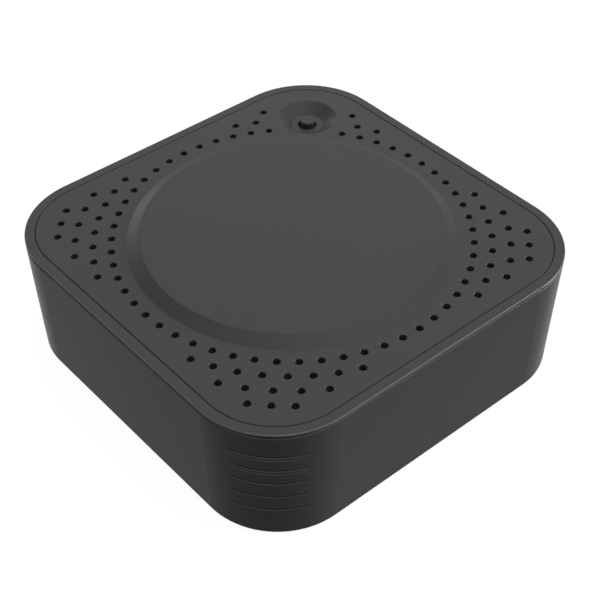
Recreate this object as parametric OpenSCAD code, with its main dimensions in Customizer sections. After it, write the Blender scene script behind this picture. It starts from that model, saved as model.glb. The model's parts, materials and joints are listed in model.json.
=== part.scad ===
// Infrared controller: a rounded square box with a perforated top, a sunken button and a board inside.
// Millimetres, +Z up. The origin is on the table under the middle of the box.
// The front wall faces -Y, the wall with the power socket faces +Y.

/* [Box] */
// Width and depth across the top edge
body_w = 96; // [94:1:110]
// Height from the bottom edge of the walls to the top face
body_h = 30.8; // [29:0.2:40]
// Plan radius of the four corners at the top edge
corner_r = 19.4; // [18.4:0.2:21]
// How far each wall leans in between the top and the bottom edge
wall_draft = 1.1; // [0.5:0.1:1.4]
// Thickness of the side walls
wall_t = 2.2; // [2:0.1:2.6]
// Round along the bottom edge of the walls
bottom_edge_r = 0.5; // [0.3:0.1:0.8]
// Round along the top edge of the walls, under the frame
wall_edge_r = 0.6; // [0.4:0.05:0.65]
// Height of the shadow gap between the walls and the frame
shadow_h = 0.5; // [0.3:0.1:0.8]
// Depth of the shadow gap
shadow_d = 0.75; // [0.7:0.05:0.85]
// Thickness of the wall where the frame laps behind it
lap_t = 1.2; // [1.1:0.05:1.3]

/* [Frame] */
// Width of the band that shows round the top plate
band_w = 2.3; // [2.1:0.1:2.8]
// Round along the outer top edge of the frame
band_edge_r = 0.3; // [0.2:0.05:0.35]
// Thickness of the flange that lies on the walls
flange_t = 0.4; // [0.35:0.05:0.8]
// Play between the frame's skirt and the wall that it laps
lap_gap = 0.15; // [0.1:0.05:0.2]
// Thickness of the skirt
skirt_t = 1.4; // [1.2:0.1:1.6]
// Length of the skirt below the flange
skirt_h = 6; // [5:0.5:7]
// Width of the ledge that carries the top plate
ledge_w = 3.6; // [3.2:0.1:3.7]
// Thickness of the ledge
ledge_t = 1.6; // [1.2:0.1:2]
// Play round the ledge where it is cut away for the dish
ledge_relief = 0.5; // [0.3:0.1:0.8]
// Length of each snap hook along the skirt
hook_w = 8; // [6:0.5:12]
// How far a snap hook stands out
hook_d = 0.5; // [0.4:0.05:0.55]
// Height of a snap hook
hook_h = 1.8; // [1.4:0.1:2.4]
// Distance of each snap hook from the middle of its side
hook_offset = 16; // [10:0.5:22]

/* [Top plate] */
// Thickness of the plate
plate_t = 2; // [1.8:0.1:2.4]
// Gap between the plate and the band of the frame
seam_gap = 0.15; // [0.1:0.05:0.3]
// Round along both edges of the seam
seam_edge_r = 0.15; // [0.1:0.05:0.25]
// Thickness of the adhesive film under the plate
tape_t = 0.3; // [0.2:0.05:0.5]
// Margin of the film inside the ledge
tape_margin = 0.5; // [0.4:0.1:0.7]
// Diameter of the four locating pins under the plate
pin_d = 1.4; // [1.2:0.1:1.6]
// Play round each pin
pin_gap = 0.1; // [0.05:0.05:0.2]
// Width of the flat part between the raised disc and the outer edge
disc_margin = 11.3; // [11.1:0.1:14]
// Height of the raised disc
disc_h = 1.6; // [1.2:0.1:1.8]
// Width of the slope round the disc
disc_slope_w = 2.9; // [2.4:0.1:4]
// Round along the upper edge of the slope
disc_edge_r = 0.9; // [0.5:0.1:1.2]
// Round along the foot of the slope
disc_foot_r = 0.6; // [0.3:0.1:1]

/* [Vent holes] */
// Diameter of a vent hole
vent_d = 1.7; // [1.2:0.1:1.8]
// Distance from the foot of the disc to the first ring of holes
vent_margin = 3.3; // [2.9:0.1:3.5]
// Distance between the rings
vent_pitch = 4; // [3:0.1:4]
// Holes in the first ring, before the dish takes its place
vent_count = 56; // [32:4:60]
// Clear width round the dish that holds no hole
vent_keep_off = 2; // [1.6:0.1:2.6]

/* [Button] */
// Width of the flat part between the raised disc and the dish
dish_margin = 1.4; // [1:0.1:1.8]
// Radius of the dish at the top face
dish_r = 7.2; // [6.8:0.1:7.4]
// Radius of the dish's flat floor
dish_floor_r = 3.9; // [3.6:0.1:4.4]
// Depth of the dish
dish_depth = 2; // [1.6:0.1:2.2]
// Round along the rim and round the floor of the dish
dish_edge_r = 0.6; // [0.3:0.1:0.9]
// Thickness of the dish's walls
dish_wall = 1.3; // [1.1:0.1:1.5]
// Diameter of the button
button_d = 3.9; // [3.5:0.1:4.1]
// Gap round the button in its hole
button_gap = 0.3; // [0.2:0.05:0.4]
// How far the button's top lies under the top face
button_sink = 0.6; // [0.3:0.1:1]
// Round along the button's top edge
button_edge_r = 0.35; // [0.2:0.05:0.5]
// How far the collar of the button stands out
collar_w = 1.4; // [1.2:0.1:1.5]
// Thickness of the collar
collar_t = 0.8; // [0.6:0.1:1]
// Rest play between the collar and the dish
collar_gap = 0.1; // [0.05:0.05:0.2]
// Play of the collar in its guide tube
guide_gap = 0.3; // [0.2:0.05:0.4]
// Wall of the guide tube
guide_wall = 1.2; // [1:0.1:1.3]
// Length of the guide tube
guide_h = 4; // [3:0.5:5]
// Travel of the button
button_travel = 0.5; // [0.3:0.05:0.5]

/* [Grooves] */
// Number of grooves on the front corner
groove_count = 5; // [3:1:5]
// Distance from the top face to the first groove
groove_top = 6.65; // [6.2:0.05:7.4]
// Distance between the grooves
groove_pitch = 4.1; // [3.6:0.1:4.4]
// Height of a groove at the face of the wall
groove_h = 0.6; // [0.4:0.1:0.8]
// Depth of a groove
groove_d = 0.3; // [0.25:0.05:0.6]
// Number of grooves, from the top, that have a second fine line under them
twin_count = 2; // [1:1:3]
// Distance from such a groove to its second line
twin_drop = 0.9; // [0.8:0.05:1.2]
// Half of the angle that a groove covers round the corner
groove_half_angle = 24.6; // [20:0.2:30]

/* [Base] */
// How far the feet stand out under the walls
foot_stand = 0.6; // [0.4:0.1:1.2]
// How far the base cover lies above the bottom edge of the walls
cover_sink = 0.4; // [0.2:0.1:0.8]
// Thickness of the base cover
cover_t = 2; // [1.8:0.1:2.4]
// Gap round the base cover
cover_gap = 0.2; // [0.15:0.05:0.4]
// Width of the seat inside the walls that the cover meets
seat_w = 2; // [1.6:0.1:2.4]
// Thickness of that seat
seat_t = 1.6; // [1.2:0.1:2]
// Diameter of a foot
foot_d = 10; // [8:0.5:11]
// Depth of the recess that holds a foot
foot_recess = 0.8; // [0.6:0.1:1]
// Distance of each foot's middle from the outer edge
foot_inset = 18.5; // [17.5:0.5:21]
// Distance of the base screws from the walls, along the diagonal
boss_inset = 3.9; // [3.7:0.1:4.3]
// Diameter of a screw boss
boss_d = 6; // [5.6:0.2:6.4]
// Height of a screw boss above the base cover
boss_h = 10; // [9:0.5:14]
// Thread diameter of the base screws
base_screw_d = 2.5; // [2.2:0.1:2.6]
// Head diameter of the base screws
base_head_d = 4.8; // [4.4:0.1:5]
// Height of the countersunk head
base_head_h = 1.2; // [1:0.1:1.3]
// Length of the base screws
base_screw_l = 8; // [6:0.5:9]

/* [Board] */
// Height of the posts that carry the board
post_h = 5; // [4:0.5:6]
// Diameter of a post
post_d = 6.4; // [5.8:0.2:7]
// Place of each post between the middle lines and the board's edge
post_share = 0.578; // [0.542:0.002:0.59]
// Thickness of the board
board_t = 1.6; // [1.2:0.1:2]
// Distance of the board's edge from the outer top edge of the box
board_margin = 6.5; // [6:0.1:7]
// Gap between the board's round corners and the screw bosses
board_boss_gap = 0.5; // [0.3:0.1:0.8]
// Gap between the board's rear tongue and the rear wall
tongue_gap = 0.6; // [0.4:0.1:1]
// Width of that tongue
tongue_w = 16; // [14:0.5:18]
// Thread diameter of the board screws
board_screw_d = 2.5; // [2.2:0.1:2.6]
// Head diameter of the board screws
board_head_d = 5; // [4.6:0.2:5.4]
// Head height of the board screws
board_head_h = 1.6; // [1.4:0.1:1.8]
// Length of the board screws under the head
board_screw_l = 6; // [5:0.5:6]
// Play round a screw in the cover and the board
screw_gap = 0.3; // [0.2:0.05:0.4]

/* [Lamps and receiver] */
// Diameter of a lamp
lamp_d = 5; // [4:0.2:5]
// Length of a lamp
lamp_l = 8.6; // [7.6:0.2:9]
// Width of the rim at the foot of a lamp
lamp_rim_w = 0.4; // [0.3:0.05:0.5]
// Thickness of that rim
lamp_rim_t = 1; // [0.8:0.1:1.2]
// Distance of each lamp's tip from the wall
lamp_gap = 2.7; // [2.4:0.1:4]
// Distance between the lamp's two leads
lead_pitch = 2.54; // [2:0.02:2.6]
// Thickness of a lead
lead_t = 0.5; // [0.4:0.05:0.6]
// Play round a lead in the board
lead_gap = 0.1; // [0.08:0.01:0.15]
// How far a lead sticks out under the board
lead_stub = 1; // [0.8:0.1:1.4]
// Length of the lead behind a lamp
lead_run = 2.5; // [2:0.1:3]
// Gap between a lamp's rim and the board
lamp_stand = 0.3; // [0.2:0.1:0.5]
// Width of the infrared receiver
receiver_w = 6; // [5:0.2:6.4]
// Depth of the receiver without its lens
receiver_d = 3.2; // [2.8:0.1:3.6]
// Height of the receiver
receiver_h = 7; // [6.5:0.1:7.5]
// Radius of the receiver's lens
receiver_lens_r = 2.3; // [2:0.1:2.4]
// Height of the receiver above the board
receiver_stand = 1; // [0.8:0.1:2]
// Distance of the receiver's face from the board's front edge
receiver_inset = 3; // [2.6:0.1:5]

/* [Power socket] */
// Width of the socket's shell
inlet_w = 7.6; // [7.2:0.1:8]
// Height of the shell
inlet_h = 2.8; // [2.6:0.1:3]
// Length of the shell
inlet_l = 5.6; // [5:0.1:6]
// Thickness of the shell's sheet
inlet_sheet_t = 0.3; // [0.2:0.05:0.35]
// Gap round the shell in the rear wall
inlet_gap = 0.3; // [0.2:0.05:0.5]
// Depth of the recess for the plug
plug_recess_d = 1.2; // [0.9:0.1:1.3]
// Width of the recess for the plug
plug_recess_w = 12; // [11:0.5:14]
// Height of the recess for the plug
plug_recess_h = 7.4; // [6.8:0.2:7.6]

/* [Push switch] */
// Side of the switch's square body
switch_w = 6.2; // [5.8:0.1:6.4]
// Height of the switch's plastic body
switch_base_h = 3; // [2.8:0.1:3.4]
// Thickness of its steel cover
switch_cover_t = 0.3; // [0.2:0.05:0.4]
// Height of the button above the end of the plunger
button_cap_h = 6.2; // [5.8:0.1:8]
// Diameter of the plunger
plunger_d = 3.5; // [3.2:0.1:3.6]
// Play round the plunger in the cover
plunger_gap = 0.12; // [0.1:0.01:0.15]
// How deep the button's socket takes the plunger
socket_depth = 1.8; // [1.4:0.1:2.4]

/* [Hidden] */

// Overrun of every cut, play of a thread, and steps of the rounds in a profile
over = 1;
full_turn = 360;
diagonal = 45;
thread_play = 0.05;
edge_steps = 4;
lens_steps = 8;
$fn = 96;

// Levels
z_bottom = foot_stand;
z_top = z_bottom + body_h;
z_flange = z_top - flange_t;
z_wall_top = z_flange - shadow_h;
z_skirt = z_flange - skirt_h;
lap_floor_gap = 0.35;
z_lap = z_skirt - lap_floor_gap;
z_plate = z_top - plate_t;
z_ledge_top = z_plate - tape_t;
z_ledge = z_ledge_top - ledge_t;
z_cover = z_bottom + cover_sink;
z_cover_top = z_cover + cover_t;
z_seat_top = z_cover_top + seat_t;
z_board = z_cover_top + post_h;
z_board_top = z_board + board_t;

// Plan sizes, and how far a piece lies inside the outline at the top edge
half_w = body_w / 2;
corner_c = half_w - corner_r;
bottom_inset = wall_draft + wall_t;
cover_inset = bottom_inset + cover_gap;
seat_inset = bottom_inset + seat_w;
skirt_inset = lap_t + lap_gap;
plate_inset = band_w + seam_gap;
plate_lip_w = 1.5;
ledge_inset = band_w + ledge_w;
pin_inset = band_w + ledge_w / 2;
pin_at = half_w - pin_inset;
pin_short = 0.2;
pin_hole_play = 0.2;

// Disc, dish and the ring that stiffens the plate from below
disc_r = half_w - disc_margin;
disc_top_r = disc_r - disc_slope_w;
disc_angle = atan2(disc_h, disc_slope_w);
disc_top_blend = disc_edge_r * tan(disc_angle / 2);
disc_foot_blend = disc_foot_r * tan(disc_angle / 2);
under_shift = plate_t * tan(disc_angle / 2);
dish_offset = disc_r + dish_margin + dish_r;
dish_at = dish_offset * cos(diagonal);
dish_angle = atan2(dish_depth, dish_r - dish_floor_r);
dish_blend = dish_edge_r * tan(dish_angle / 2);
dish_cup_r = dish_r + dish_wall;
dish_cup_floor_r = dish_floor_r + dish_wall;
z_dish = z_top - dish_depth;
z_dish_under = z_dish - dish_wall;
stiffener_gap = 0.6;
stiffener_t = 0.9;
stiffener_h = 1.5;
stiffener_r = disc_r + stiffener_gap;

// Corner rows of vent holes: how many in each corner, and the angle from one to the next
vent_rows = [[8, 6.59], [5, 6.62], [3, 5.17]];
vent_ring_r = disc_r + vent_margin;
vent_clear = dish_r + vent_keep_off;

// Snap hooks and the pockets that they catch in
hook_rise = 0.8;
hook_ramp_share = 0.65;
pocket_play = 0.1;
pocket_side_play = 0.3;

// Second fine line under a groove
groove_slot_share = 0.3;
twin_h = 0.4;
twin_d = 0.2;

// Base cover and screws
boss_at = corner_c + (corner_r - bottom_inset - boss_inset) * cos(diagonal);
boss_web_t = 1.6;
boss_web_drop = 1;
boss_lift = 0.2;
boss_bore_gap = 1;
cover_rib_t = 1.2;
cover_rib_h = 2;
foot_chamfer = 0.5;
foot_offset = half_w - foot_inset;
foot_play = 0.1;
sink_play = 0.05;
drive_w = 0.7;
drive_d = 0.6;
drive_l_share = 0.62;
head_round_share = 0.5;
post_floor = 0.4;

// Button and push switch
button_r = button_d / 2;
collar_r = button_r + collar_w;
guide_r = collar_r + guide_gap;
z_button = z_top - button_sink;
z_collar_top = z_dish_under - collar_gap;
z_collar = z_collar_top - collar_t;
z_plunger = z_button - button_cap_h;
z_switch = z_board_top + switch_base_h;
z_switch_top = z_switch + switch_cover_t;
plunger_r = plunger_d / 2;
socket_play = 0.05;
socket_wall = 0.9;
foot_w = 0.6;
foot_t = 0.6;
foot_side_play = 0.25;
rest_play = 0.05;
nib_r = 1;
nib_h = 0.4;
z_nib = z_switch - rest_play - foot_t - nib_h;
dome_play = 0.05;
dome_t = 0.12;
dome_h = 0.6;
dome_r = plunger_r + foot_w - rest_play;
z_dome = z_nib - button_travel - dome_play;
z_switch_floor = z_dome - dome_h;
leg_w = 0.7;
leg_t = 0.3;
leg_row_w = 4.5;
leg_top_h = 1;

// Outline of the board
board_half = half_w - board_margin;
post_offset = board_half * post_share;
boss_reach = boss_at * sqrt(2) - boss_d / 2 - board_boss_gap;
board_corner_r = (board_half * sqrt(2) - boss_reach) / (sqrt(2) - 1);
tongue_y = half_w - wall_inset(z_board) - wall_t - tongue_gap;

// Lamps: the outward ones lie between the middles and the corners of the sides
lamp_count = 8;
lamp_step = full_turn / lamp_count;
lamp_r = lamp_d / 2;
lamp_rim_r = lamp_r + lamp_rim_w;
lamp_z = z_board_top + lamp_stand + lamp_rim_r;
lamp_tip = (half_w - bottom_inset - lamp_gap) / cos(lamp_step / 2);
lamp_foot = lamp_tip - lamp_l;
lead_r = lamp_foot - lead_run;
up_lamp_stand = 1.5;
lead_hole_r = lead_t / sqrt(2) + lead_gap;
leg_hole_r = norm([leg_w, leg_t]) / 2 + lead_gap;

// Receiver
receiver_face = board_half - receiver_inset;
receiver_y = receiver_d / 2 - receiver_face;
receiver_chamfer = 0.6;
receiver_lens_rise = 1.3;
receiver_lens_share = 0.62;

// Power socket: the mouth lies flush with the floor of the plug recess
z_inlet = z_board_top + inlet_h / 2;
inlet_mouth = half_w - wall_inset(z_inlet) - plug_recess_d;
inlet_chamfer = 0.9;
plug_recess_r = 2.2;
tongue_block_l = 1.2;
tongue_plate_w = 3.8;
tongue_plate_t = 0.7;
tongue_plate_short = 0.6;
tongue_side_play = 0.1;

// Wireless module
radio_w = 17;
radio_l = 24;
radio_t = 0.8;
radio_margin = 2;
radio_x = radio_margin - board_half;
notch_r = 0.4;
notch_pitch = 1.6;
notch_count = 7;
notch_start = 9;
shield_l = 15;
shield_w = 14;
shield_h = 2.2;
shield_edge = 0.8;
shield_corner_r = 1;
shield_rim_t = 0.25;
shield_rim_w = 0.4;
antenna_t = 0.15;
antenna_w = 0.6;
antenna_turns = 4;
antenna_pitch = 1.5;
antenna_y = 5.5;
antenna_x = 1;
antenna_deep = 3;
antenna_feed = 1.8;

// Chips and small parts: places are shares of half the board
chip_place_share = [0.34, -0.1];
chip_w = 8.6;
chip_h = 1.2;
chip_edge = 0.4;
chip_dot_r = 0.45;
chip_dot_d = 0.15;
chip_leg_count = 8;
chip_leg_pitch = 0.9;
chip_leg_w = 0.35;
chip_leg_t = 0.15;
chip_leg_run = 1.2;
chip_leg_foot = 0.6;
chip_leg_z = 0.6;
driver_place_shares = [[0.36, -0.5], [-0.36, -0.5], [0.42, 0.42], [-0.42, 0.42], [0.12, 0.5]];
driver_l = 2.9;
driver_w = 1.4;
driver_h = 1.1;
driver_leg_w = 0.4;
driver_leg_t = 0.2;
driver_leg_run = 0.6;
driver_leg_pitch = 0.95;
coil_place_share = [0.11, 0.73];
coil_w = 7;
coil_h = 3.8;
coil_corner_r = 1.6;
coil_core_r = 2.4;
coil_dip = 0.5;
can_place_shares = [[-0.14, 0.73], [-0.14, 0.5]];
can_r = 3.15;
can_h = 6.6;
can_base_w = 6.6;
can_base_h = 1;
can_base_cut = 1.2;
can_edge = 0.35;
can_groove_z = 1.1;
can_groove_d = 0.25;
crystal_place_share = [0.34, 0.2];
crystal_l = 5;
crystal_w = 3.2;
crystal_h = 1.2;
crystal_step = 0.3;
small_row_shares = [[0.22, -0.32, 5, 0], [0.58, -0.2, 4, 90], [-0.29, -0.2, 4, 90],
    [0.27, 0.5, 3, 90], [-0.5, -0.36, 4, 0], [-0.3, 0.28, 3, 0]];
small_pitch = 2.6;
small_l = 1.6;
small_w = 0.8;
small_h = 0.5;
status_l = 2;
status_w = 1.25;
status_h = 0.8;
status_at = vent_ring_r * cos(diagonal);

// Inset of the drafted outer wall at a height
function wall_inset(z) = wall_draft * (z_top - z) / body_h;

// Points of an arc from one angle to another
function arc(cx, cy, r, from, to, steps) =
    [for (i = [0:steps]) let(a = from + (to - from) * i / steps) [cx + r * cos(a), cy + r * sin(a)]];

// Sweeps a wall profile round the box: its points are inset from the top outline, and height
module sweep_walls(profile) {
    section = [for (p = profile) [corner_r - p[0], p[1]]];
    for (side = [0:3]) {
        rotate(90 * side) translate([corner_c, corner_c, 0]) {
            rotate_extrude(angle = 90) polygon(section);
            rotate([90, 0, 0]) linear_extrude(2 * corner_c) polygon(section);
        }
    }
}

// Rounded rectangle in plan
module rounded(w, d, r) {
    square([w - 2 * r, d], center = true);
    square([w, d - 2 * r], center = true);
    for (x = [-1, 1], y = [-1, 1]) {
        translate([x * (w / 2 - r), y * (d / 2 - r)]) circle(r);
    }
}

// Plate with the outline of the box, drawn in by an inset
module box_plate(inset, z_low, z_high) {
    w = body_w - 2 * inset;
    translate([0, 0, z_low]) linear_extrude(z_high - z_low) rounded(w, w, corner_r - inset);
}

// Places its children in all four corners at a distance from both middle lines
module at_corners(distance) {
    for (x = [-1, 1], y = [-1, 1]) translate([x * distance, y * distance, 0]) children();
}

// Round bar or bore between two heights
module bar(r, z_low, z_high) {
    translate([0, 0, z_low]) cylinder(r = r, h = z_high - z_low);
}

// Block centred in plan that stands on a height
module block(w, d, z_low, h) {
    translate([-w / 2, -d / 2, z_low]) cube([w, d, h]);
}

// Places its children at the dish, turned to the diagonal
module at_dish() {
    translate([-dish_at, dish_at, 0]) rotate(diagonal) children();
}

// Places its children at a share of half the board
module at_share(place) {
    translate([place[0] * board_half, place[1] * board_half, 0]) children();
}

// Frame

module snap_hook() {
    ramp = hook_h * hook_ramp_share;
    face = half_w - skirt_inset;
    low = z_skirt + hook_rise;
    section = [[face - skirt_t / 2, low], [face, low], [face + hook_d, low + ramp],
        [face + hook_d, low + hook_h], [face - skirt_t / 2, low + hook_h]];
    translate([0, hook_w / 2, 0]) rotate([90, 0, 0]) linear_extrude(hook_w) polygon(section);
}

module hook_pocket() {
    reach = half_w - skirt_inset + hook_d + pocket_play;
    low = z_skirt + hook_rise - pocket_play;
    back = half_w - lap_t - over;
    translate([back, -hook_w / 2 - pocket_side_play, low])
        cube([reach - back, hook_w + 2 * pocket_side_play, hook_h + 2 * pocket_play]);
}

module at_hooks() {
    for (side = [0:3], y = [-1, 1]) rotate(90 * side) translate([0, y * hook_offset, 0]) children();
}

module rim_frame() {
    edge = arc(band_edge_r, z_top - band_edge_r, band_edge_r, 90, 180, edge_steps);
    seam_edge = arc(band_w - seam_edge_r, z_top - seam_edge_r, seam_edge_r, 0, 90, edge_steps);
    section = concat(edge, [
        [wall_inset(z_flange), z_flange], [skirt_inset, z_flange],
        [skirt_inset, z_skirt], [skirt_inset + skirt_t, z_skirt],
        [skirt_inset + skirt_t, z_ledge], [ledge_inset, z_ledge],
        [ledge_inset, z_ledge_top], [band_w, z_ledge_top]], seam_edge);
    color("dimgray") difference() {
        union() {
            sweep_walls(section);
            at_hooks() snap_hook();
        }
        translate([-dish_at, dish_at, 0]) bar(dish_cup_r + ledge_relief, z_skirt - over, z_ledge_top + over);
        for (side = [0:3]) {
            rotate(90 * side) translate([pin_at, 0, 0])
                bar(pin_d / 2 + pin_gap, z_ledge - over, z_ledge_top + over);
        }
    }
}

// Top plate

module plate_body() {
    edge = arc(plate_inset + seam_edge_r, z_top - seam_edge_r, seam_edge_r, 90, 180, edge_steps);
    section = concat(edge, [[plate_inset, z_plate], [plate_inset + plate_lip_w, z_plate],
        [plate_inset + plate_lip_w, z_top]]);
    sweep_walls(section);
    box_plate(plate_inset + plate_lip_w, z_plate, z_top);
}

module raised_disc() {
    top = z_top + disc_h;
    upper = arc(disc_top_r - disc_top_blend, top - disc_edge_r, disc_edge_r, 90, 90 - disc_angle, edge_steps);
    lower = arc(disc_r + disc_foot_blend, z_top + disc_foot_r, disc_foot_r, 270 - disc_angle, 270, edge_steps);
    foot = disc_r + disc_foot_blend;
    rotate_extrude() polygon(concat([[0, z_plate + plate_t / 2], [0, top]], upper, lower,
        [[foot, z_plate + plate_t / 2]]));
}

module disc_hollow() {
    foot = disc_r - under_shift;
    rotate_extrude() polygon([[0, z_plate - over], [foot, z_plate - over], [foot, z_plate],
        [disc_top_r - under_shift, z_plate + disc_h], [0, z_plate + disc_h]]);
}

module dish_cup() {
    rotate_extrude() polygon([[0, z_dish_under], [dish_cup_floor_r, z_dish_under],
        [dish_cup_r, z_plate], [dish_cup_r, z_plate + plate_t / 2], [0, z_plate + plate_t / 2]]);
    difference() {
        bar(guide_r + guide_wall, z_dish_under - guide_h, z_dish_under + dish_wall / 2);
        bar(guide_r, z_dish_under - guide_h - over, z_dish_under);
    }
}

module dish_cut() {
    floor_arc = arc(dish_floor_r - dish_blend, z_dish + dish_edge_r, dish_edge_r, 270, 270 + dish_angle,
        edge_steps);
    rim_arc = arc(dish_r + dish_blend, z_top - dish_edge_r, dish_edge_r, 90 + dish_angle, 90, edge_steps);
    rotate_extrude() polygon(concat([[0, z_dish]], floor_arc, rim_arc,
        [[dish_r + dish_blend, z_top + over], [0, z_top + over]]));
    bar(button_r + button_gap, z_dish_under - over, z_dish + over);
}

// Vent holes stay clear of the dish
function vent_free(r, a) = norm([r * cos(a) + dish_at, r * sin(a) - dish_at]) > vent_clear;

module vent_hole(r, a) {
    if (vent_free(r, a)) rotate(a) translate([r, 0, 0]) bar(vent_d / 2, z_plate - over, z_top + over);
}

module vent_holes() {
    for (i = [0:vent_count - 1]) vent_hole(vent_ring_r, diagonal + full_turn * i / vent_count);
    for (row = [0:len(vent_rows) - 1], corner = [0:3]) {
        count = vent_rows[row][0];
        for (i = [0:count - 1]) {
            vent_hole(vent_ring_r + (row + 1) * vent_pitch,
                diagonal + 90 * corner + (i - (count - 1) / 2) * vent_rows[row][1]);
        }
    }
}

module top_plate() {
    color("dimgray") difference() {
        union() {
            plate_body();
            raised_disc();
            translate([-dish_at, dish_at, 0]) dish_cup();
            difference() {
                bar(stiffener_r + stiffener_t, z_plate - stiffener_h, z_plate + plate_t / 2);
                bar(stiffener_r, z_plate - stiffener_h - over, z_plate + plate_t);
            }
            for (side = [0:3]) {
                rotate(90 * side) translate([pin_at, 0, 0])
                    bar(pin_d / 2, z_ledge + pin_short, z_plate + plate_t / 2);
            }
        }
        disc_hollow();
        translate([-dish_at, dish_at, 0]) dish_cut();
        vent_holes();
    }
}

module plate_tape() {
    outer = plate_inset + tape_margin;
    inner = ledge_inset - tape_margin;
    color("black") difference() {
        box_plate(outer, z_ledge_top, z_plate);
        box_plate(inner, z_ledge_top - over, z_plate + over);
        translate([-dish_at, dish_at, 0]) bar(dish_cup_r + ledge_relief, z_ledge_top - over, z_plate + over);
        for (side = [0:3]) {
            rotate(90 * side) translate([pin_at, 0, 0])
                bar(pin_d / 2 + pin_hole_play, z_ledge_top - over, z_plate + over);
        }
    }
}

// Lower housing

module groove(z, h, d) {
    face = corner_r - wall_inset(z);
    section = [[face - d, z + h / 2], [face + over, z + h / 2], [face + over, z - h / 2],
        [face, z - h / 2], [face - d, z + h / 2 - h * groove_slot_share]];
    translate([corner_c, -corner_c, 0]) rotate(-diagonal - groove_half_angle)
        rotate_extrude(angle = 2 * groove_half_angle) polygon(section);
}

module grooves() {
    for (i = [0:groove_count - 1]) {
        z = z_top - groove_top - i * groove_pitch;
        groove(z, groove_h, groove_d);
        if (i < twin_count) groove(z - twin_drop, twin_h, twin_d);
    }
}

module housing_walls() {
    upper = wall_inset(z_wall_top);
    edge = arc(upper + wall_edge_r, z_wall_top - wall_edge_r, wall_edge_r, 180, 90, edge_steps);
    foot = arc(wall_draft + bottom_edge_r, z_bottom + bottom_edge_r, bottom_edge_r, 270, 180, edge_steps);
    sweep_walls(concat(edge, [
        [shadow_d, z_wall_top], [shadow_d, z_flange], [lap_t, z_flange], [lap_t, z_lap],
        [wall_inset(z_lap) + wall_t, z_lap], [wall_inset(z_seat_top) + wall_t, z_seat_top],
        [seat_inset, z_seat_top], [seat_inset, z_cover_top], [bottom_inset, z_cover_top],
        [bottom_inset, z_bottom]], foot));
}

module screw_boss() {
    bar(boss_d / 2, z_cover_top + boss_lift, z_cover_top + boss_h);
    web = boss_inset + wall_t / 2;
    translate([0, -boss_web_t / 2, z_cover_top + boss_lift]) cube([web, boss_web_t, boss_h - boss_web_drop]);
}

module inlet_outline(grow) {
    w = inlet_w / 2 + grow;
    h = inlet_h / 2 + grow;
    polygon([[-w, h], [w, h], [w, inlet_chamfer - h], [w - inlet_chamfer, -h],
        [inlet_chamfer - w, -h], [-w, inlet_chamfer - h]]);
}

module inlet_opening() {
    translate([0, half_w + over, z_inlet]) rotate([90, 0, 0])
        linear_extrude(wall_t + wall_draft + 2 * over) inlet_outline(inlet_gap);
    translate([0, half_w + over, z_inlet]) rotate([90, 0, 0])
        linear_extrude(half_w + over - inlet_mouth) rounded(plug_recess_w, plug_recess_h, plug_recess_r);
}

module lower_housing() {
    color("dimgray") difference() {
        union() {
            housing_walls();
            for (side = [0:3]) rotate(diagonal + 90 * side) translate([boss_at * sqrt(2), 0, 0]) screw_boss();
        }
        grooves();
        at_hooks() hook_pocket();
        at_corners(boss_at) bar(base_screw_d / 2 + thread_play, z_cover_top - over,
            z_cover + base_screw_l + boss_bore_gap);
        inlet_opening();
    }
}

// Base cover, feet and screws

module cover_ribs() {
    for (side = [0:3]) {
        rotate(90 * side) translate([post_offset, 0, 0])
            block(cover_rib_t, 2 * post_offset, z_cover + cover_t / 2, cover_t / 2 + cover_rib_h);
    }
}

module base_cover() {
    color("dimgray") difference() {
        union() {
            box_plate(cover_inset, z_cover, z_cover_top);
            at_corners(post_offset) bar(post_d / 2, z_cover + cover_t / 2, z_board);
            cover_ribs();
        }
        at_corners(post_offset)
            bar(board_screw_d / 2 + thread_play, z_board_top - board_screw_l - post_floor, z_board + over);
        at_corners(foot_offset) bar(foot_d / 2 + foot_play, z_cover - over, z_cover + foot_recess);
        at_corners(boss_at) {
            bar(base_screw_d / 2 + screw_gap, z_cover - over, z_cover_top + over);
            translate([0, 0, z_cover]) screw_sink(sink_play);
        }
    }
}

// Cone of a countersunk head, grown by a play, with a straight part that reaches below the face
module screw_sink(play) {
    wide = base_head_d / 2 + play;
    thin = base_screw_d / 2 + play;
    rotate_extrude() polygon([[0, -over], [wide, -over], [wide, 0], [thin, base_head_h], [0, base_head_h]]);
}

module rubber_feet() {
    r = foot_d / 2;
    top = z_cover + foot_recess;
    color("black") at_corners(foot_offset) rotate_extrude()
        polygon([[0, 0], [r - foot_chamfer, 0], [r, foot_chamfer], [r, top], [0, top]]);
}

module cross_drive(z, head_d) {
    l = head_d * drive_l_share;
    block(l, drive_w, z, drive_d + over);
    block(drive_w, l, z, drive_d + over);
}

module base_screws() {
    wide = base_head_d / 2;
    thin = base_screw_d / 2;
    color("silver") at_corners(boss_at) difference() {
        rotate_extrude() polygon([[0, z_cover], [wide, z_cover], [thin, z_cover + base_head_h],
            [thin, z_cover + base_screw_l], [0, z_cover + base_screw_l]]);
        cross_drive(z_cover - over, base_head_d);
    }
}

module board_screws() {
    head = board_head_d / 2;
    round_r = board_head_h * head_round_share;
    top = z_board_top + board_head_h;
    edge = arc(head - round_r, top - round_r, round_r, 90, 0, edge_steps);
    thin = board_screw_d / 2;
    color("silver") at_corners(post_offset) difference() {
        rotate_extrude() polygon(concat([[0, top]], edge, [[head, z_board_top], [thin, z_board_top],
            [thin, z_board_top - board_screw_l], [0, z_board_top - board_screw_l]]));
        cross_drive(top - drive_d, board_head_d);
    }
}

// Main board

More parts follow.
